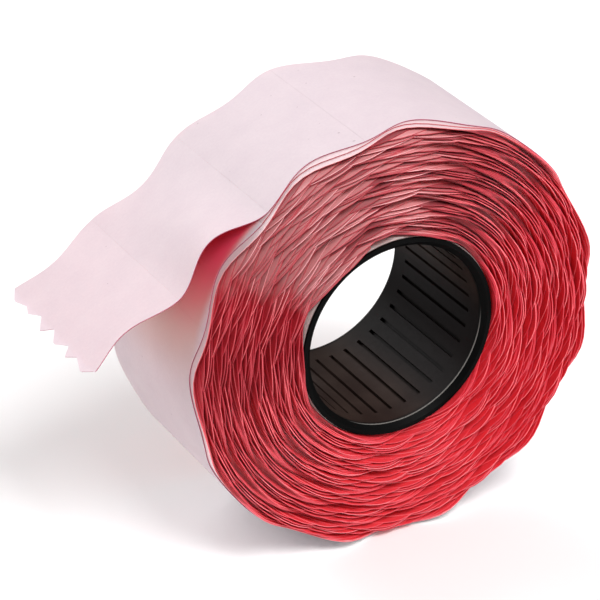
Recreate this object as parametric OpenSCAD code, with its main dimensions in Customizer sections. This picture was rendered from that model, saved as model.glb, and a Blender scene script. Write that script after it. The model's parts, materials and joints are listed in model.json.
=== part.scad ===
// Roll of wavy-edged price-gun labels on a plastic core.
// The roll's axis lies along Y, and the origin is the middle of the core's bore. +Z is up.
// The web is a red backing liner with separate die-cut paper labels on its outer side.
// It unwinds from the leader, which leaves the roll at leader_angle and hangs to -X.

/* [Core] */
// Inside diameter of the core, which turns on the gun's spindle
bore_d = 26.8; // [25:0.1:27.5]
// Wall of the core
core_wall = 1.3; // [1:0.1:1.6]
// Length of the core
core_len = 24.4; // [20:0.2:26]
// Chamfer at each mouth of the bore
mouth_chamfer = 0.7; // [0.3:0.1:0.9]
// Number of grooves round the bore
groove_count = 36; // [12:1:36]
// Width of one groove
groove_w = 0.5; // [0.3:0.05:0.55]
// Depth of one groove into the wall
groove_depth = 0.55; // [0.2:0.05:0.7]
// Length of one groove, centred on the core
groove_len = 17; // [8:0.5:18]

/* [Web] */
// Outside diameter of the full roll
roll_d = 62; // [61:0.5:64]
// Length of one label along the web
label_len = 16; // [16:0.1:16.2]
// Width of the web at its widest, where one label meets the next
web_w = 26; // [24:0.5:28]
// How much narrower each edge is at the middle of a label
edge_wave = 2; // [0:0.25:2.5]
// Thickness of a label with its adhesive
label_t = 0.085; // [0.07:0.005:0.09]
// Thickness of the backing liner
liner_t = 0.05; // [0.04:0.005:0.052]
// Radial distance from one turn of the web to the next
turn_pitch = 0.148; // [0.146:0.002:0.16]
// Gap that the die leaves between two labels
die_gap = 0.2; // [0.15:0.05:0.4]
// Turns that are drawn in place of the inner turns, each standing for several thin ones
drawn_turns = 13; // [8:1:14]

/* [Leader] */
// Angle round the roll, from +X towards +Z, where the leader leaves it
leader_angle = 130; // [125:1:135]
// Outward bend at the leader's root fold
root_bend = 4; // [2:0.5:8]
// Outward bend at the fold between the leader's two labels
tip_bend = 4; // [0:0.5:8]
// Teeth that the tear leaves across the leader's end
tear_teeth = 6; // [3:1:8]
// Depth of those teeth
tear_depth = 1.4; // [0.5:0.1:2]
// How far the tear runs inside the end of the leader's second label
tear_inset = 1.3; // [1:0.1:2.5]

/* [Tape] */
// Thickness of the paper tape that holds the web's inner end on the core
tape_t = 0.12; // [0.08:0.01:0.2]
// Width of the tape
tape_w = 23.6; // [22:0.2:24]

/* [Hidden] */

outer_labels = 12;
core_r = bore_d / 2 + core_wall;
roll_r = roll_d / 2;
tape_gap = 0.01;
tape_r = core_r + tape_gap + tape_t;
skin = (turn_pitch - label_t - liner_t) / 2;
liner_r = roll_r - label_t - skin;
fold_r = liner_r - liner_t / 2;
label_angle = label_len / roll_r * 180 / PI;
die_angle = die_gap / roll_r * 180 / PI;
edge_steps = 16;
eps = 0.01;

// The inner turns fill the space between the tape and the outer turn.
pack_gap = 0.06;
pack_r = roll_r - 2 * turn_pitch - pack_gap;
drawn_pitch = (pack_r - tape_r - pack_gap) / drawn_turns;
drawn_label_share = 0.6;
drawn_gap = 0.04;
mean_web_w = web_w - edge_wave;
grid = 7.5;

paper_white = [0.94, 0.88, 0.90];
liner_red = [0.76, 0.10, 0.15];
core_black = [0.06, 0.06, 0.06];

// Half the web's width at a distance t from where a label starts.
function half_width(t) = web_w / 2 - edge_wave / 2 * (1 - cos(360 * t / label_len));

// Turns the roll's own frame, with its axis along Z, so that the axis lies along Y.
module along_y() {
    rotate([90, 0, 0]) children();
}

module ring(r_out, r_in, h) {
    difference() {
        cylinder(r = r_out, h = h, center = true, $fn = 180);
        cylinder(r = r_in, h = h + 1, center = true, $fn = 180);
    }
}

// ---------- core ----------

module mouth() {
    translate([0, 0, core_len / 2 - mouth_chamfer])
        cylinder(r1 = bore_d / 2, r2 = bore_d / 2 + mouth_chamfer + eps,
                 h = mouth_chamfer + eps, $fn = 180);
}

module grooves() {
    for (i = [0 : groove_count - 1])
        rotate((i + 0.5) * 360 / groove_count)
            translate([bore_d / 2 - 1, -groove_w / 2, -groove_len / 2])
                cube([1 + groove_depth, groove_w, groove_len]);
}

module core() {
    color(core_black)
        along_y()
            difference() {
                ring(core_r, bore_d / 2, core_len);
                mouth();
                mirror([0, 0, 1]) mouth();
                grooves();
            }
}

module starter_tape() {
    color("white") along_y() ring(tape_r, core_r + tape_gap, tape_w);
}

// ---------- inner turns ----------

// Outer radius of the drawn web after a turn of a degrees inward from the leader. The web is a
// spiral with straight sides on a fixed grid of angles, so that every turn nests in the next.
function drawn_r(a) = let (off = a % grid - grid / 2)
    (pack_r + drawn_pitch * (1 - a / 360)) * cos(grid / 2) / cos(off);

// Points at a depth below the drawn web's outer side, kept inside the outer turn.
function drawn_point(a, depth) = let (r = min(pack_r * cos(grid / 2) / cos(a % grid - grid / 2),
                                              drawn_r(a) - depth))
    [r * cos(leader_angle - a), r * sin(leader_angle - a)];

// Angles from a to b, with every grid angle between them.
function stops(a, b) = concat([a],
    [for (i = [floor(a / grid) + 1 : ceil(b / grid) - 1]) i * grid], [b]);

module drawn_layer(a, b, top, bottom) {
    at = stops(a, b);
    linear_extrude(mean_web_w, center = true)
        polygon(concat([for (v = at) drawn_point(v, top)],
                       [for (i = [len(at) - 1 : -1 : 0]) drawn_point(at[i], bottom)]));
}

label_bottom = drawn_pitch * drawn_label_share;
first_liner_angle = 120;
first_label_angle = 210;
last_angle = 360 * drawn_turns;

module wound_liner() {
    color(liner_red)
        along_y()
            drawn_layer(first_liner_angle, last_angle, label_bottom, drawn_pitch - drawn_gap);
}

// Where the drawn labels start, as angles inward from the leader.
function label_starts(a) = let (next = a + label_len / (drawn_r(a) - label_bottom / 2) * 180 / PI)
    next > last_angle ? [] : concat([a], label_starts(next));

module wound_labels() {
    starts = label_starts(first_label_angle);
    color(paper_white)
        along_y()
            for (i = [0 : len(starts) - 2])
                drawn_layer(starts[i], starts[i + 1] - die_angle, 0, label_bottom - drawn_gap);
}

// ---------- outer turn ----------

// Outline of the web from t0 to t1, measured from where a label starts, as [along, across].
function web_outline(t0, t1) = let (step = (t1 - t0) / edge_steps) concat(
    [for (i = [0 : edge_steps]) let (t = t0 + i * step) [t, half_width(t)]],
    [for (i = [edge_steps : -1 : 0]) let (t = t0 + i * step) [t, -half_width(t)]]);

// The same outline on the flat plane that touches the roll over a label's middle.
function wrapped(outline, r) = [for (p = outline)
    [p[1], r * sin((p[0] - label_len / 2) / r * 180 / PI)]];

// One label of the outer turn. Number 1 ends at the leader, and the spiral steps in from there.
module price_label(number) {
    r = roll_r - turn_pitch * (number - 1) * label_angle / 360;
    middle = leader_angle - (number - 0.5) * label_angle;
    color(paper_white)
        along_y()
            intersection() {
                ring(r, r - label_t, web_w + 2);
                rotate(middle) translate([r - 2, 0, 0]) rotate([0, 90, 0])
                    linear_extrude(3)
                        polygon(wrapped(web_outline(die_gap / 2, label_len - die_gap / 2), r));
            }
}

// The liner's outer turn, a thin spiral from the root fold to just short of one whole turn.
liner_step = 2;
liner_first = 0.1;
liner_last = outer_labels * label_angle;
function outer_liner_point(a, depth) = let (r = liner_r - turn_pitch * a / 360 - depth)
    [r * cos(leader_angle - a), r * sin(leader_angle - a)];

module outer_turn_liner() {
    at = concat([liner_first], [for (a = [liner_step : liner_step : liner_last]) a]);
    color(liner_red)
        along_y()
            linear_extrude(mean_web_w, center = true)
                polygon(concat([for (a = at) outer_liner_point(a, 0)],
                    [for (i = [len(at) - 1 : -1 : 0]) outer_liner_point(at[i], liner_t)]));
}

// ---------- leader ----------

// Directions of the leader's two flat lengths, from +X towards +Z.
root_dir = leader_angle + 90 - root_bend;
tip_dir = root_dir - tip_bend;
fold_gap = 0.06;

// Puts a flat length at the root fold: X runs along the leader, Y across it, Z outward.
module at_root_fold() {
    translate([fold_r * cos(leader_angle), 0, fold_r * sin(leader_angle)])
        rotate([0, -root_dir, 0]) rotate([180, 0, 0]) children();
}

module at_tip_fold() {
    at_root_fold() translate([label_len, 0, 0]) rotate([0, -tip_bend, 0]) children();
}

tear_middle = label_len - tear_inset;
tear_foot = tear_middle - tear_depth / 2;

// The zigzag that the tear leaves across the end, from one edge to the other.
function tear_line(t, half) = [for (i = [0 : 2 * tear_teeth])
    [t + (i % 2 == 0 ? -1 : 1) * tear_depth / 2, half * (1 - i / tear_teeth)]];

module flat_web(t0, t1, thick) {
    linear_extrude(thick) polygon(web_outline(t0, t1));
}

module leader_liner_root() {
    color(liner_red)
        at_root_fold() translate([0, 0, -liner_t / 2])
            flat_web(fold_gap / 2, label_len - fold_gap / 2, liner_t);
}

module leader_liner_tip() {
    color(liner_red)
        at_tip_fold() translate([0, 0, -liner_t / 2])
            flat_web(fold_gap / 2, tear_foot, liner_t);
}

module leader_label_root() {
    color(paper_white)
        at_root_fold() translate([0, 0, liner_t / 2 + skin])
            flat_web(die_gap / 2, label_len - die_gap / 2, label_t);
}

module leader_label_tip() {
    straight_end = tear_foot - 0.5;
    sides = web_outline(die_gap / 2, straight_end);
    half = len(sides) / 2;
    outline = concat([for (i = [0 : half - 1]) sides[i]],
                     tear_line(tear_middle, half_width(tear_middle)),
                     [for (i = [half : len(sides) - 1]) sides[i]]);
    color(paper_white)
        at_tip_fold() translate([0, 0, liner_t / 2 + skin])
            linear_extrude(label_t) polygon(outline);
}

core();
starter_tape();
wound_liner();
wound_labels();
outer_turn_liner();
price_label(1);  // price_label_01
price_label(2);  // price_label_02
price_label(3);  // price_label_03
price_label(4);  // price_label_04
price_label(5);  // price_label_05
price_label(6);  // price_label_06
price_label(7);  // price_label_07
price_label(8);  // price_label_08
price_label(9);  // price_label_09
price_label(10);  // price_label_10
price_label(11);  // price_label_11
price_label(12);  // price_label_12
leader_liner_root();
leader_liner_tip();
leader_label_root();
leader_label_tip();
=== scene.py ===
"""A roll of wavy-edged price-gun labels: red liner, pinkish white labels, black core.

The web is one strip. A point on it has a distance s along it, in millimetres, from the fold where the
leader leaves the roll: s is positive on the roll, going inward, and negative on the leader. Shapes are
worked out in millimetres and turned into metres when a mesh is made.
"""

import json
import math

import bpy
import numpy as np
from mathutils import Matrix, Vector


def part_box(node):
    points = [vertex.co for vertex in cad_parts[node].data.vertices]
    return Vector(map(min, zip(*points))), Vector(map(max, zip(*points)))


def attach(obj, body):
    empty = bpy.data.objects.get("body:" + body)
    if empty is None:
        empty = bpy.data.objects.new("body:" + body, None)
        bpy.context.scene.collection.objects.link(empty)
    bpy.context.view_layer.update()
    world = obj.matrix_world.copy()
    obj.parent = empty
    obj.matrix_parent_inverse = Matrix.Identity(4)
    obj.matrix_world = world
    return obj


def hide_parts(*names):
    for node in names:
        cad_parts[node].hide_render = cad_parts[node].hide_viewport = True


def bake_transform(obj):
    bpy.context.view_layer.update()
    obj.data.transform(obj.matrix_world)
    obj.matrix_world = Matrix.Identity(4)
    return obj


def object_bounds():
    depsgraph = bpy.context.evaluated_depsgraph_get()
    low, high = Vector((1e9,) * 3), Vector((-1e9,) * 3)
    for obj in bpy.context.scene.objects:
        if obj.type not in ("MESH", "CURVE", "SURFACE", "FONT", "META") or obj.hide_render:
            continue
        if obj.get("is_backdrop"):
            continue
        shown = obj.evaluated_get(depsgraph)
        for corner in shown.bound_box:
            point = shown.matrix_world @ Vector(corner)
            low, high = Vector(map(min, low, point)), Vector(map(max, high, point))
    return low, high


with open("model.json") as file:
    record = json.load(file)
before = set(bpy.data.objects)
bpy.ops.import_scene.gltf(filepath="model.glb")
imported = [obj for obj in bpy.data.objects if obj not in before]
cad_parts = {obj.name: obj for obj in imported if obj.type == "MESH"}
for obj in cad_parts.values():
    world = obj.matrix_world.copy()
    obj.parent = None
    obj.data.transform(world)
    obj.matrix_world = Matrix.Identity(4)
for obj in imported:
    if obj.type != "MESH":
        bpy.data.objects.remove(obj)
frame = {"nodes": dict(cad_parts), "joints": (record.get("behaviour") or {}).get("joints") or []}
cad_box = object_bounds()

MM = 0.001
TAU = 2 * math.pi
joints = {j["name"]: j for j in frame["joints"]}


def joint_place(name):
    """A joint's place in the roll's XZ plane, in millimetres."""
    x, _, z = joints[name]["pos_m"]
    return np.array([x, z]) / MM


def box_mm(node):
    low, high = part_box(node)
    return np.array(low) / MM, np.array(high) / MM


# ---------- sizes, in millimetres ----------

LABEL_LEN = 16.0
LABELS_OUTSIDE = 12
PITCH = 0.148          # radial distance from one turn to the next
FIRST_TURN_GAP = 0.06  # from the tape to the middle of the innermost liner
LABEL_T = 0.082
LINER_T = 0.046
LABEL_LIFT = 0.006     # space between a label and the liner
LABEL_GAP = 0.015      # the die's cut between two labels
LABEL_LOW = LINER_T / 2 + LABEL_LIFT
LABEL_HIGH = LABEL_LOW + LABEL_T
LINER_START = 0.3      # the outer turn's liner begins this far from the fold, and the leader's ends there
FOLD_SPAN = 0.06       # half the length of web that a fold takes up
PEEL_CURL = 5.0        # length over which a label curls up as it peels
EDGE_WAVE = 1.0        # the edge swings this far each side of its mean
OUTER_SHIFT = 0.9      # the outer turn and the leader sit this far back along the roll
SHIFT_TURNS = 1.6      # turns over which that shift dies away
WANDERS = [(380, 0.17), (130, 0.05), (24, 0.02)]  # sideways wander: web length to a bend, and its reach

root_fold = joint_place("leader_root_fold")
tip_fold = joint_place("leader_tip_fold")
fold_r = float(np.hypot(*root_fold))
fold_angle = math.atan2(root_fold[1], root_fold[0])
half_w = (box_mm("price_label_01")[1][1] - box_mm("price_label_01")[0][1]) / 2 - EDGE_WAVE
first_turn_r = box_mm("starter_tape")[1][0] + FIRST_TURN_GAP
turns = (fold_r - first_turn_r) / PITCH
rng = np.random.default_rng(26)


# ---------- the web's path ----------

def angle_at(s):
    """How far round the roll, inward from the leader, the web has wound at s."""
    return (fold_r - np.sqrt(fold_r ** 2 - PITCH * s / math.pi)) * TAU / PITCH


def s_at(a):
    return fold_r * a - PITCH * a * a / (2 * TAU)


def smooth_noise(count):
    """A smooth random curve with about count bends, as a function of a number from 0 to 1."""
    values = rng.standard_normal(count + 4)

    def curve(t):
        place = np.clip(t, 0, 1) * count
        i = np.floor(place).astype(int)
        f = place - i
        f = f * f * (3 - 2 * f)
        return values[i] * (1 - f) + values[i + 1] * f
    return curve


web_len = s_at(turns * TAU)
wanders = [(smooth_noise(int(web_len / length)), reach) for length, reach in WANDERS]


def side_shift(s):
    """How far the web's middle sits from the roll's middle. Only the turns inside the outermost wander."""
    turn = angle_at(np.maximum(s, 0)) / TAU
    outer = OUTER_SHIFT * np.exp(-(turn / SHIFT_TURNS) ** 2)
    settled = np.clip(turn - 0.5, 0, 1)
    return outer + settled * sum(reach * curve(s / web_len) for curve, reach in wanders)


def half_width(s):
    return half_w + EDGE_WAVE * np.cos(TAU * s / LABEL_LEN)


def proud(s, side):
    """How much further a turn is pushed towards one side than the turns next to it."""
    a = angle_at(s)
    near = [side_shift(s_at(np.maximum(a + k * TAU, 0))) for k in (-2, -1, 1, 2)]
    return side * (side_shift(s) - sum(near) / len(near))


# Where the inner turns stand off the core, as [angle, half width, height]: stiff paper won't lie close.
STAND_OFFS = [(math.radians(104), 0.32, 0.42), (math.radians(266), 0.26, 0.40),
              (math.radians(158), 0.25, 0.22), (math.radians(20), 0.30, 0.16),
              (math.radians(318), 0.28, 0.14)]
STAND_OFF_DEPTH = 4.0  # how far out from the core they fade
RIPPLE = 0.10          # how far the turns halfway out lie off true
RIPPLE_WAVES = (3, 4, 5, 7)
BULGE_FROM = 0.9       # the turns outside this one lie true
ripple_phase = rng.uniform(0, TAU, 6)


def bulge(theta, r):
    """How far a turn of radius r lies outside a true circle at an angle."""
    out = np.zeros_like(r)
    fade = np.exp(-(r - first_turn_r) / STAND_OFF_DEPTH)
    for angle, spread, height in STAND_OFFS:
        off = (theta - angle + math.pi) % TAU - math.pi
        out = out + height * np.exp(-(off / spread) ** 2) * fade
    middle = (r - first_turn_r) / (fold_r - first_turn_r)
    ripple = sum(np.sin(n * theta + ripple_phase[n - 3] + 3 * middle) / n for n in RIPPLE_WAVES)
    return out + RIPPLE * ripple * np.sin(math.pi * np.clip(middle, 0, 1))


def on_roll(s, y, t):
    """A point of the roll: y is along the roll's axis and t is above the liner's middle."""
    a = angle_at(s)
    theta = fold_angle - a
    r = fold_r - PITCH * a / TAU
    r = r + bulge(theta, r) * np.clip(a / TAU - BULGE_FROM, 0, 1) + t
    return np.stack([r * np.cos(theta), y, r * np.sin(theta)], 1)


LEADER_BOW = 0.75      # how far the leader's first label bows outward
LEADER_TWIST = 1.05    # how much more it does so at its front edge
TIP_BOW = 0.25         # how far its second label does


def unit(v):
    return v / np.hypot(*v)


tip_low = box_mm("leader_label_tip")[0]
root_dir = unit(tip_fold - root_fold)
tip_dir = unit(np.array([tip_low[0], tip_low[2]]) - tip_fold)


def on_leader(s, y, t):
    """A point of the leader: s is negative, y is across it and t is above the liner's middle."""
    d = -s
    second = d > LABEL_LEN
    along = np.where(second, d - LABEL_LEN, d)
    place = np.where(second[:, None], tip_fold, root_fold)
    way = np.where(second[:, None], tip_dir, root_dir)
    out = np.stack([way[:, 1], -way[:, 0]], 1)
    lift = np.sin(math.pi * np.clip(along / LABEL_LEN, 0, 1)) ** 2
    bow = np.where(second, TIP_BOW, LEADER_BOW - LEADER_TWIST * y / half_w)
    p = place + way * along[:, None] + out * (t + bow * lift)[:, None]
    return np.stack([p[:, 0], y, p[:, 1]], 1)


def on_web(s, y, t):
    s, y, t = (np.broadcast_to(v, np.shape(s)).astype(float) for v in (s, y, t))
    leader_points = on_leader(np.minimum(s, -1e-9), y, t)
    return np.where((s < 0)[:, None], leader_points, on_roll(np.maximum(s, 0), y, t))


def web_point(s):
    """A point in the middle of a label's underside, in metres."""
    return Vector(on_web(np.array([s]), side_shift(np.array([s])), LABEL_LOW)[0] * MM)


# ---------- meshes ----------

SHARP_ANGLE = math.radians(35)


def make_piece(name, verts_mm, faces, material):
    mesh = bpy.data.meshes.new(name)
    mesh.from_pydata((np.asarray(verts_mm) * MM).tolist(), [], faces)
    mesh.polygons.foreach_set("use_smooth", [True] * len(mesh.polygons))
    mesh.set_sharp_from_angle(angle=SHARP_ANGLE)
    mesh.materials.append(material)
    mesh.update()
    piece = bpy.data.objects.new(name, mesh)
    bpy.context.scene.collection.objects.link(piece)
    return piece


def sheet_faces(n, m, start):
    """Quads of a closed sheet of n rows and m columns: a top grid, a bottom grid and the rim."""
    def top(i, j):
        return start + i * m + j

    def low(i, j):
        return start + n * m + i * m + j

    faces = []
    for i in range(n - 1):
        for j in range(m - 1):
            faces.append((top(i, j), top(i + 1, j), top(i + 1, j + 1), top(i, j + 1)))
            faces.append((low(i, j), low(i, j + 1), low(i + 1, j + 1), low(i + 1, j)))
        faces.append((top(i, 0), low(i, 0), low(i + 1, 0), top(i + 1, 0)))
        faces.append((top(i, m - 1), top(i + 1, m - 1), low(i + 1, m - 1), low(i, m - 1)))
    for j in range(m - 1):
        faces.append((top(0, j), top(0, j + 1), low(0, j + 1), low(0, j)))
        faces.append((top(n - 1, j), low(n - 1, j), low(n - 1, j + 1), top(n - 1, j + 1)))
    return faces


def sheet_points(rows, t_low, t_high, columns, end_cut):
    """Points of a closed sheet along the web. rows are its distances s, columns its points across, and
    end_cut says how far its last row is moved along the web at each place across."""
    s = np.repeat(rows, columns)
    v = np.tile(np.linspace(-1, 1, columns), len(rows))
    if end_cut is not None:
        s = s + (s - rows[0]) / (rows[-1] - rows[0]) * end_cut(v)
    y = side_shift(s) + v * half_width(s)
    return np.concatenate([on_web(s, y, t_high), on_web(s, y, t_low)])


def web_piece(name, strips, t_low, t_high, material, columns=2, end_cut=None):
    """One piece of one or more closed sheets, each given by its rows."""
    points, faces, stand, count = [], [], [], 0
    for rows in strips:
        points.append(sheet_points(rows, t_low, t_high, columns, end_cut))
        faces += sheet_faces(len(rows), columns, count)
        side = np.tile(np.sign(np.linspace(-1, 1, columns)), len(rows))
        stand.append(np.tile(proud(np.repeat(np.maximum(rows, 0), columns), side), 2))
        count += len(points[-1])
    piece = make_piece(name, np.concatenate(points), faces, material)
    layer = piece.data.attributes.new("proud", "FLOAT", "POINT")
    layer.data.foreach_set("value", np.concatenate(stand).astype(np.float32))
    return piece


# ---------- materials ----------

class Shading:
    """A new material, with short forms for the nodes that this script uses."""

    def __init__(self, name):
        self.material = bpy.data.materials.new(name)
        self.material.use_nodes = True
        self.nodes = self.material.node_tree.nodes
        self.links = self.material.node_tree.links
        self.nodes.clear()

    def add(self, kind, **values):
        node = self.nodes.new(kind)
        for key, value in values.items():
            if key in node.inputs:
                node.inputs[key].default_value = value
            else:
                setattr(node, key, value)
        return node

    def place(self):
        """The shaded point in the piece's own space, in metres."""
        return self.add("ShaderNodeTexCoord").outputs["Object"]

    def split(self, vector):
        node = self.add("ShaderNodeSeparateXYZ")
        self.links.new(vector, node.inputs[0])
        return node.outputs["X"], node.outputs["Y"], node.outputs["Z"]

    def math(self, operation, a, b=None):
        node = self.add("ShaderNodeMath", operation=operation)
        for i, value in enumerate((a, b)):
            if isinstance(value, (int, float)):
                node.inputs[i].default_value = value
            elif value is not None:
                self.links.new(value, node.inputs[i])
        return node.outputs[0]

    def product(self, first, *others):
        for value in others:
            first = self.math("MULTIPLY", first, value)
        return first

    def vector(self, operation, a, b=None):
        """The node of a vector sum: a is a socket and b a fixed vector."""
        node = self.add("ShaderNodeVectorMath", operation=operation)
        self.links.new(a, node.inputs[0])
        if b is not None:
            node.inputs[1].default_value = b
        return node

    def noise(self, coords, scale, detail):
        node = self.add("ShaderNodeTexNoise", Scale=scale, Detail=detail)
        self.links.new(coords, node.inputs["Vector"])
        return node.outputs["Fac"]

    def ramp(self, fac, stops):
        node = self.add("ShaderNodeValToRGB")
        for element, (place, color) in zip(node.color_ramp.elements, stops):
            element.position = place
            element.color = (*color, 1)
        self.links.new(fac, node.inputs["Fac"])
        return node.outputs["Color"]

    def bump(self, height, strength, distance):
        node = self.add("ShaderNodeBump", Strength=strength, Distance=distance)
        self.links.new(height, node.inputs["Height"])
        return node.outputs["Normal"]

    def spread(self, value, low, high, first=0.0, last=1.0, kind="LINEAR"):
        """value carried over from low...high to first...last, and kept inside them."""
        node = self.add("ShaderNodeMapRange", interpolation_type=kind)
        self.links.new(value, node.inputs["Value"])
        limits = {"From Min": low, "From Max": high, "To Min": first, "To Max": last}
        for name, limit in limits.items():
            node.inputs[name].default_value = limit
        return node.outputs["Result"]

    def share(self, value, low, high):
        """0 where value is below low, 1 above high, and smooth between."""
        return self.spread(value, low, high, kind="SMOOTHSTEP")

    def toward(self, fac, first, color):
        """The first color, turning into a fixed one as fac goes to 1."""
        node = self.add("ShaderNodeMix", data_type="RGBA")
        self.links.new(fac, node.inputs[0])
        self.links.new(first, node.inputs[6])
        node.inputs[7].default_value = (*color, 1)
        return node.outputs[2]

    def mixed(self, fac, first, second):
        """The mix of two shaders."""
        node = self.add("ShaderNodeMixShader")
        self.links.new(fac, node.inputs[0])
        self.links.new(first.outputs[0], node.inputs[1])
        self.links.new(second.outputs[0], node.inputs[2])
        return node

    def finish(self, shader):
        out = self.add("ShaderNodeOutputMaterial")
        self.links.new(shader.outputs[0], out.inputs["Surface"])
        return self.material

    def edge_mask(self):
        """1 on a sheet's cut edges along the web, 0 on its two faces."""
        normal = self.add("ShaderNodeNewGeometry").outputs["True Normal"]
        return self.math("GREATER_THAN", self.math("ABSOLUTE", self.split(normal)[1]), 0.5)

    def covered(self, reach, closed, clear):
        """1 where something nearer than reach hides most of what is over the surface, 0 where it lies open.
        closed and clear are the open shares at which it is 1 and 0."""
        seen = self.add("ShaderNodeAmbientOcclusion", Distance=reach * MM, samples=8)
        return self.math("SUBTRACT", 1.0, self.share(seen.outputs["AO"], closed, clear))

    def from_axis(self, coords, *angles):
        """Distance from the roll's axis, then how nearly a point lies towards each angle round it, from
        -1 to 1. Angles go from +X towards +Z."""
        x, _, z = self.split(coords)
        r = self.math("SQRT", self.math("ADD", self.product(x, x), self.product(z, z)))
        found = [r]
        for angle in angles:
            part_x = self.product(x, math.cos(math.radians(angle)))
            part_z = self.product(z, math.sin(math.radians(angle)))
            found.append(self.math("DIVIDE", self.math("ADD", part_x, part_z), r))
        return found


def paper(name, stops, glow, through, roughness, sheen, edge, face=None):
    """Thin paper: mottled colour, a fine fibre bump, and light that shows through its faces in the colour
    glow. face and edge change the colour of the faces and of the cut edges."""
    sh = Shading(name)
    coords = sh.place()
    fibre = sh.noise(coords, 2600, 5)
    cloud = sh.noise(coords, 260, 3)
    color = sh.ramp(sh.product(sh.math("ADD", fibre, cloud), 0.5), stops)
    if face is not None:
        color = face(sh, coords, color)
    on_edge = sh.edge_mask()
    color = edge(sh, on_edge, color)
    front = sh.add("ShaderNodeBsdfPrincipled", Roughness=roughness)
    front.inputs["Specular IOR Level"].default_value = sheen
    sh.links.new(color, front.inputs["Base Color"])
    sh.links.new(sh.bump(fibre, 0.25, 0.00003), front.inputs["Normal"])
    back = sh.add("ShaderNodeBsdfTranslucent", Color=(*glow, 1))
    shown_through = sh.product(sh.math("SUBTRACT", 1.0, on_edge), through)
    return sh.finish(sh.mixed(shown_through, front, back))


def plain_edge(edge_color):
    return lambda sh, on_edge, color: sh.toward(on_edge, color, edge_color)


def specks(sh, coords, color):
    """A few tiny dark specks in the paper."""
    spot = sh.share(sh.noise(coords, 1500, 0), 0.855, 0.875)
    return sh.toward(sh.product(spot, 0.45), color, (0.30, 0.20, 0.24))


LEADER_REACH = 10.0    # a painted red glow, standing in for light through the leader, goes on a label that it covers from less than this far
SHADE_REACH = 28.0     # and a painted beige shade goes on one that it or the floor covers from less than this far
FRONT_STRIP = (-12.4, -10.2)  # y over which the strip along the front edge, which is lit, gives way
PAINTED_BEIGE_SHADE = (0.76, 0.53, 0.43)
PAINTED_RED_GLOW = (0.89, 0.022, 0.115)


def under_leader(sh, coords, color):
    """A painted red glow, for light through the leader, and a painted beige shade on labels that lie under
    the leader, except along their front edge, which is lit. They are strongest by the root fold."""
    color = specks(sh, coords, color)
    from_fold = sh.vector("SUBTRACT", coords, (root_fold[0] * MM, 0, root_fold[1] * MM)).outputs[0]
    flat = sh.vector("MULTIPLY", from_fold, (1, 0, 1)).outputs[0]
    closeness = sh.product(sh.vector("LENGTH", flat).outputs["Value"], -1.0)
    behind = sh.share(sh.split(coords)[1], FRONT_STRIP[0] * MM, FRONT_STRIP[1] * MM)
    # painted beige shade, where the leader or the floor hides the label
    beige = sh.product(sh.share(closeness, -45 * MM, -8 * MM), behind, sh.covered(SHADE_REACH, 0.60, 0.95))
    color = sh.toward(sh.product(beige, 0.85), color, PAINTED_BEIGE_SHADE)
    # painted red glow of light through the leader, where the leader lies close over the label
    red = sh.product(sh.share(closeness, -25 * MM, -7 * MM), sh.covered(LEADER_REACH, 0.45, 0.95), behind)
    return sh.toward(sh.product(red, 0.92), color, PAINTED_RED_GLOW)


LOOSE_TURNS = (0.60, 0.38)  # depth over which the wound turns grow loose and pale
PAINTED_TOP_LIGHT_FACE = (0.89, 0.38, 0.39)
LOOSE_FACE = (0.86, 0.66, 0.69)


def wound_face(sh, coords, color):
    """Painted light: paler on the roll's upper side, where light falls between the turns. Also paler in the
    loose outer turns.
    """
    r, height, far_top = sh.from_axis(coords, 90, 55)
    # painted light on the upper side, with less of it at the far top
    ragged = sh.math("ADD", height, sh.product(sh.noise(coords, 320, 2), 0.30))
    less = sh.product(sh.share(far_top, 0.86, 1.0), 0.65)
    pale = sh.product(sh.share(ragged, 0.56, 0.80), sh.math("SUBTRACT", 1.0, less))
    color = sh.toward(pale, color, PAINTED_TOP_LIGHT_FACE)
    loose = sh.share(r, (fold_r - LOOSE_TURNS[0]) * MM, (fold_r - LOOSE_TURNS[1]) * MM)
    return sh.toward(loose, color, LOOSE_FACE)


BRIGHTEST = (0.94, 0.94, 0.94)
PAINTED_LOW_LIGHT_TINT = (0.92, 0.45, 0.47)


def painted_light_tone(sh, color):
    """Painted light and shade: the wound web is darker on the leader's side and at the other side's top,
    and brighter and paler below.
    """
    _, far_side, below, far_top = sh.from_axis(sh.place(), -17, -112, 60)
    # painted light and shade, set by the place round the roll
    tone = sh.spread(far_side, -0.86, 0.86, 0.82, 1.24)
    more = sh.product(sh.share(below, 0.25, 0.95), 0.45)
    less = sh.product(sh.share(far_top, 0.86, 1.0), 0.12)
    scaled = sh.vector("SCALE", color)
    sh.links.new(sh.math("SUBTRACT", sh.math("ADD", tone, more), less), scaled.inputs["Scale"])
    kept = sh.vector("MINIMUM", scaled.outputs[0], BRIGHTEST).outputs[0]
    return sh.toward(sh.product(more, 0.16), kept, PAINTED_LOW_LIGHT_TINT)


def wound_liner_edge(sh, on_edge, color):
    return painted_light_tone(sh, sh.toward(on_edge, color, (0.50, 0.018, 0.036)))


STANDS_OUT = (0.04, 0.10)  # an edge this far past its neighbours begins to get a painted highlight, and gets it fully
WOUND_EDGE = (0.52, 0.030, 0.050)
RIDGE_HIGHLIGHT = (0.88, 0.14, 0.165)
UPPER_EDGE_LIGHT = (0.52, 0.14, 0.16)
UPPER_RIDGE_HIGHLIGHT = (0.95, 0.50, 0.52)
SUNKEN_SHADE = (0.24, 0.012, 0.025)


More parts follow.
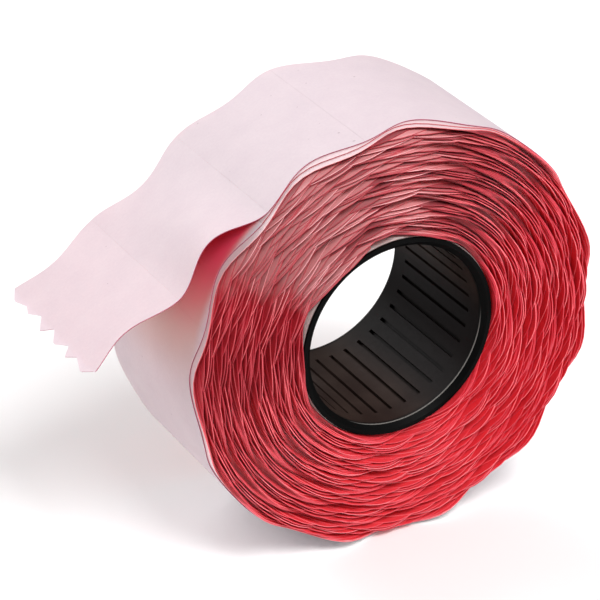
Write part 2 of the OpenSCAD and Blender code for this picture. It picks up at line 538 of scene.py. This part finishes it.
def wound_edge(sh, on_edge, color):
    """Red edges, with a painted highlight along the turns that stand out past their neighbours. On the
    roll's upper side
    more light and shade is painted: all edges a little paler, the standing turns paler still and the sunken
    ones dark."""
    color = sh.toward(on_edge, color, WOUND_EDGE)
    stand = sh.add("ShaderNodeAttribute", attribute_name="proud").outputs["Fac"]
    # painted highlight on the turns that stand out
    highlit_ridge = sh.product(on_edge, sh.share(stand, *STANDS_OUT))
    color = sh.toward(highlit_ridge, color, RIDGE_HIGHLIGHT)
    _, upper, top = sh.from_axis(sh.place(), 112, 85)
    upper = sh.share(upper, 0.70, 0.92)
    # painted light on the edges of the upper side
    color = sh.toward(sh.product(on_edge, upper, 0.45), color, UPPER_EDGE_LIGHT)
    color = sh.toward(sh.product(highlit_ridge, upper), color, UPPER_RIDGE_HIGHLIGHT)
    # painted shade on the sunken turns at the top
    sunk_shade = sh.product(sh.share(sh.product(stand, -1.0), *STANDS_OUT), sh.share(top, 0.60, 0.90))
    color = sh.toward(sh.product(sunk_shade, 0.75), color, SUNKEN_SHADE)
    return painted_light_tone(sh, color)


CORE_STOPS = [(0.3, (0.020, 0.011, 0.009)), (0.7, (0.034, 0.021, 0.017))]
CORE_SHADE = (0.005, 0.003, 0.003)
CORE_END = (0.002, 0.002, 0.002)
CORE_LIP_HIGHLIGHT = (0.16, 0.15, 0.14)


def black_plastic():
    """Moulded plastic: brownish black walls with painted shade towards +X and a little -Z, ends that are
    blacker, and a painted highlight on a thin lip inside each end, on its lower side.
    """
    sh = Shading("core_plastic")
    coords = sh.place()
    grain = sh.noise(coords, 1500, 4)
    color = sh.ramp(sh.noise(coords, 180, 2), CORE_STOPS)
    _, facing, height = sh.from_axis(coords, -30, 90)
    # painted shade on the walls towards +X and a little -Z
    color = sh.toward(sh.share(facing, 0.66, 0.95), color, CORE_SHADE)
    from_middle = sh.math("ABSOLUTE", sh.split(coords)[1])
    mouth = box_mm("core")[1][1]
    end = sh.share(from_middle, (mouth - 1.5) * MM, (mouth - 0.7) * MM)
    color = sh.toward(end, color, CORE_END)
    # painted highlight on the lip, on its lower side
    lip = sh.product(sh.share(from_middle, (mouth - 0.86) * MM, (mouth - 0.76) * MM),
                     sh.math("LESS_THAN", from_middle, (mouth - 0.64) * MM))
    below = sh.share(sh.math("SUBTRACT", facing, height), 0.7, 1.3)
    color = sh.toward(sh.product(lip, below), color, CORE_LIP_HIGHLIGHT)
    shader = sh.add("ShaderNodeBsdfPrincipled")
    shader.inputs["Specular IOR Level"].default_value = 0.035
    sh.links.new(color, shader.inputs["Base Color"])
    sh.links.new(sh.spread(grain, 0.0, 1.0, 0.36, 0.54), shader.inputs["Roughness"])
    sh.links.new(sh.bump(grain, 0.15, 0.00004), shader.inputs["Normal"])
    return sh.finish(shader)


LABEL_LOOK = {"stops": [(0.30, (0.81, 0.71, 0.76)), (0.70, (0.89, 0.795, 0.83))],
              "glow": (0.80, 0.60, 0.66), "through": 0.34, "roughness": 0.60, "sheen": 0.30,
              "edge": plain_edge((0.46, 0.13, 0.21))}
LINER_LOOK = {"stops": [(0.35, (0.64, 0.022, 0.036)), (0.65, (0.78, 0.044, 0.062))],
              "glow": (1.0, 0.02, 0.08), "through": 0.66, "roughness": 0.38, "sheen": 0.40,
              "edge": plain_edge((0.28, 0.006, 0.022))}
WOUND_LINER_LOOK = {**LINER_LOOK, "through": 0.45, "edge": wound_liner_edge}
WOUND_LABEL_LOOK = {"stops": [(0.35, (0.62, 0.026, 0.042)), (0.65, (0.76, 0.044, 0.066))],
                    "glow": (0.98, 0.05, 0.09), "through": 0.15, "roughness": 0.40, "sheen": 0.40,
                    "edge": wound_edge, "face": wound_face}
TAPE_LOOK = {"stops": [(0.35, (0.78, 0.76, 0.72)), (0.65, (0.88, 0.87, 0.84))],
             "glow": (0.9, 0.88, 0.85), "through": 0.15, "roughness": 0.7, "sheen": 0.3,
             "edge": plain_edge((0.36, 0.26, 0.25))}

label_paper = paper("label_paper", **LABEL_LOOK, face=specks)
shaded_label_paper = paper("shaded_label_paper", **LABEL_LOOK, face=under_leader)
liner_paper = paper("liner_paper", **LINER_LOOK)
wound_liner_paper = paper("wound_liner_paper", **WOUND_LINER_LOOK)
wound_label_paper = paper("wound_label_paper", **WOUND_LABEL_LOOK)
tape_paper = paper("tape_paper", **TAPE_LOOK)
core_plastic = black_plastic()


# ---------- the roll ----------

GRID = math.radians(3)
SHADED_LABELS = 3      # so many of the outer labels lie under the leader


def grid_rows(s0, s1):
    """s0 and s1, with the roll's grid angles between them, so that neighbouring turns nest."""
    first = math.floor(angle_at(s0) / GRID) + 1
    last = math.ceil(angle_at(s1) / GRID) - 1
    inside = [s_at(i * GRID) for i in range(first, last + 1)]
    return np.array([s0, *inside, s1])


def wound_web():
    """Every turn of the web inside the outermost one."""
    start = LABELS_OUTSIDE * LABEL_LEN
    liner = web_piece("wound_liner_web", [grid_rows(start, web_len)], -LINER_T / 2, LINER_T / 2,
                      wound_liner_paper)
    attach(liner, "roll")
    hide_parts("wound_liner")
    strips = []
    s = start
    while s + 1 < web_len:
        strips.append(grid_rows(s + LABEL_GAP / 2, min(s + LABEL_LEN - LABEL_GAP / 2, web_len)))
        s += LABEL_LEN
    labels = web_piece("wound_label_stack", strips, LABEL_LOW, LABEL_HIGH, wound_label_paper)
    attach(labels, "roll")
    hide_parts("wound_labels")


def peel_from(piece, stuck, free):
    """Bakes a label's placing into its mesh. The web's points at stuck and free are worked out but not
    used.
    """
    web_point(stuck)
    web_point(free)
    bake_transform(piece)


def outer_turn():
    liner = web_piece("outer_turn_web", [np.linspace(LINER_START, LABELS_OUTSIDE * LABEL_LEN, 300)],
                      -LINER_T / 2, LINER_T / 2, liner_paper, columns=9)
    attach(liner, "roll")
    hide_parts("outer_turn_liner")
    for k in range(1, LABELS_OUTSIDE + 1):
        s1 = k * LABEL_LEN - LABEL_GAP / 2
        s0 = (k - 1) * LABEL_LEN + LABEL_GAP / 2
        look = shaded_label_paper if k > LABELS_OUTSIDE - SHADED_LABELS else label_paper
        label = web_piece(f"outer_label_{k:02d}", [np.linspace(s0, s1, 33)], LABEL_LOW, LABEL_HIGH,
                          look, columns=13)
        peel_from(label, s1, s1 - PEEL_CURL)
        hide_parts(f"price_label_{k:02d}")


# ---------- the leader ----------

TEAR_TEETH = 6
TEAR_DEPTH = 1.15
TEAR_INSET = 1.3       # how far the tear runs inside the end of the leader's second label
LINER_TEAR = 0.4       # the liner's share of the teeth's depth
LEADER_ROWS = 60
tooth_push = rng.uniform(-0.35, 0.35, 2 * TEAR_TEETH + 1)
tooth_place = np.arange(2 * TEAR_TEETH + 1) + rng.uniform(-0.38, 0.38, 2 * TEAR_TEETH + 1)


def torn_edge(v):
    """How far the torn end reaches past its mean at v across the web, from -1 to 1."""
    place = (v + 1) / 2 * 2 * TEAR_TEETH
    tips = np.array([(-1) ** i for i in range(2 * TEAR_TEETH + 1)]) * TEAR_DEPTH / 2 + tooth_push
    return np.interp(place, tooth_place, tips)


def fold_rows(fold, low, high):
    """Rows from low to high, with close ones over a fold."""
    near = fold + FOLD_SPAN * np.array([-1, -0.5, 0, 0.5, 1])
    rows = np.linspace(low, high, LEADER_ROWS)
    return np.sort(np.concatenate([rows[abs(rows - fold) > 1.5 * FOLD_SPAN], near]))


def leader():
    end = -(2 * LABEL_LEN - TEAR_INSET)
    seam = -LABEL_LEN / 2
    root = web_piece("leader_root_web", [fold_rows(0, seam, LINER_START)], -LINER_T / 2, LINER_T / 2,
                     liner_paper, columns=13)
    web_point(FOLD_SPAN)
    web_point(-FOLD_SPAN)
    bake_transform(root)
    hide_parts("leader_liner_root")
    tip_rows = fold_rows(-LABEL_LEN, end + TEAR_DEPTH / 2, seam)[::-1]
    tip = web_piece("leader_tip_web", [tip_rows], -LINER_T / 2, LINER_T / 2, liner_paper,
                    columns=37, end_cut=lambda v: torn_edge(v) * LINER_TEAR)
    web_point(-LABEL_LEN + FOLD_SPAN)
    web_point(-LABEL_LEN - FOLD_SPAN)
    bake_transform(tip)
    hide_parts("leader_liner_tip")
    first_rows = np.linspace(-LABEL_LEN + LABEL_GAP / 2, -LABEL_GAP / 2, 41)
    first = web_piece("leader_first_label", [first_rows], LABEL_LOW, LABEL_HIGH,
                      label_paper, columns=17)
    peel_from(first, -LABEL_GAP / 2, -PEEL_CURL)
    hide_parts("leader_label_root")
    second_rows = np.linspace(-LABEL_LEN - LABEL_GAP / 2, end, 49)
    second = web_piece("leader_second_label", [second_rows], LABEL_LOW, LABEL_HIGH,
                       label_paper, columns=12 * TEAR_TEETH + 1, end_cut=torn_edge)
    peel_from(second, second_rows[0], -LABEL_LEN - PEEL_CURL)
    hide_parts("leader_label_tip")


def core_and_tape():
    """The two CAD nodes that are shown as they are, with the core's edges softened."""
    for node, material in (("core", core_plastic), ("starter_tape", tape_paper)):
        materials = frame["nodes"][node].data.materials
        materials.clear()
        materials.append(material)
    edge = frame["nodes"]["core"].modifiers.new("soft_edges", "BEVEL")
    edge.width = 0.12 * MM
    edge.segments = 2
    edge.limit_method = "ANGLE"
    edge.angle_limit = math.radians(30)


# ---------- the stage, in metres ----------

FLOOR_SIDE = 3.0
FLOOR_DROP = 0.0001    # the floor lies this far under the roll
FLOOR_LIT = 0.14       # past this distance the floor fades to the sky's white
FLOOR_UNLIT = 0.45
SKY_LIGHT = 0.36       # the sky is seen as white, but lights the roll only this much
# Each light's name, place, width and height, and power.
LIGHTS = [("key", (0.03, -0.45, 0.65), (0.35, 0.35), 5.2),
          ("back", (-0.20, 0.75, 0.40), (0.9, 0.5), 7.0),
          ("side", (0.50, -0.50, 0.30), (0.4, 0.4), 1.2)]


def area_light(name, place, size, power):
    """A rectangle of light, size wide and high, that faces the origin."""
    data = bpy.data.lights.new(name, "AREA")
    data.shape = "RECTANGLE"
    data.size, data.size_y = size
    data.energy = power
    light = bpy.data.objects.new(name, data)
    light.location = place
    light.rotation_mode = "QUATERNION"
    light.rotation_quaternion = Vector(place).to_track_quat("Z", "Y")
    bpy.context.scene.collection.objects.link(light)


def pale_floor():
    """White and matt, and as white as the sky where the lights don't reach."""
    sh = Shading("pale_floor")
    near = sh.add("ShaderNodeBsdfPrincipled", Roughness=0.9)
    near.inputs["Base Color"].default_value = (0.95, 0.95, 0.95, 1)
    far = sh.add("ShaderNodeEmission", Strength=1.0)
    unlit = sh.share(sh.vector("LENGTH", sh.place()).outputs["Value"], FLOOR_LIT, FLOOR_UNLIT)
    seen = sh.add("ShaderNodeLightPath").outputs["Is Camera Ray"]
    return sh.finish(sh.mixed(sh.product(unlit, seen), near, far))


def stage():
    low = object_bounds()[0][2] - FLOOR_DROP
    corners = [(x * FLOOR_SIDE, y * FLOOR_SIDE, low) for x, y in ((-1, -1), (1, -1), (1, 1), (-1, 1))]
    mesh = bpy.data.meshes.new("floor")
    mesh.from_pydata(corners, [], [(0, 1, 2, 3)])
    mesh.materials.append(pale_floor())
    floor = bpy.data.objects.new("floor", mesh)
    bpy.context.scene.collection.objects.link(floor)
    floor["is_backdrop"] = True

    world = bpy.data.worlds.new("studio")
    world.use_nodes = True
    nodes, links = world.node_tree.nodes, world.node_tree.links
    sky = nodes["Background"]
    sky.inputs["Color"].default_value = (1, 1, 1, 1)
    strength = nodes.new("ShaderNodeMath")
    strength.operation = "MAXIMUM"
    strength.inputs[1].default_value = SKY_LIGHT
    links.new(nodes.new("ShaderNodeLightPath").outputs["Is Camera Ray"], strength.inputs[0])
    links.new(strength.outputs[0], sky.inputs["Strength"])
    bpy.context.scene.world = world
    for light in LIGHTS:
        area_light(*light)


CAMERA_AZIMUTH = math.radians(-29)   # from -Y, positive towards +X
CAMERA_ELEVATION = math.radians(28.4)
CAMERA_LENS = 171
CAMERA_DISTANCE = 6.36  # times the CAD's height
CAMERA_ASIDE = 0.12     # towards the leader, times the CAD's height


def camera():
    around, up = CAMERA_AZIMUTH, CAMERA_ELEVATION
    back = Vector((math.sin(around) * math.cos(up), -math.cos(around) * math.cos(up), math.sin(up)))
    right = Vector((math.cos(around), math.sin(around), 0))
    height = cad_box[1][2] - cad_box[0][2]
    data = bpy.data.cameras.new("camera")
    data.lens = CAMERA_LENS
    data.sensor_width = 36
    data.clip_start = 0.01
    cam = bpy.data.objects.new("camera", data)
    cam.location = back * CAMERA_DISTANCE * height - right * CAMERA_ASIDE * height
    cam.rotation_mode = "QUATERNION"
    cam.rotation_quaternion = back.to_track_quat("Z", "Y")
    bpy.context.scene.collection.objects.link(cam)
    bpy.context.scene.camera = cam


wound_web()
outer_turn()
leader()
core_and_tape()
stage()
camera()
bpy.context.scene.view_settings.view_transform = "Standard"
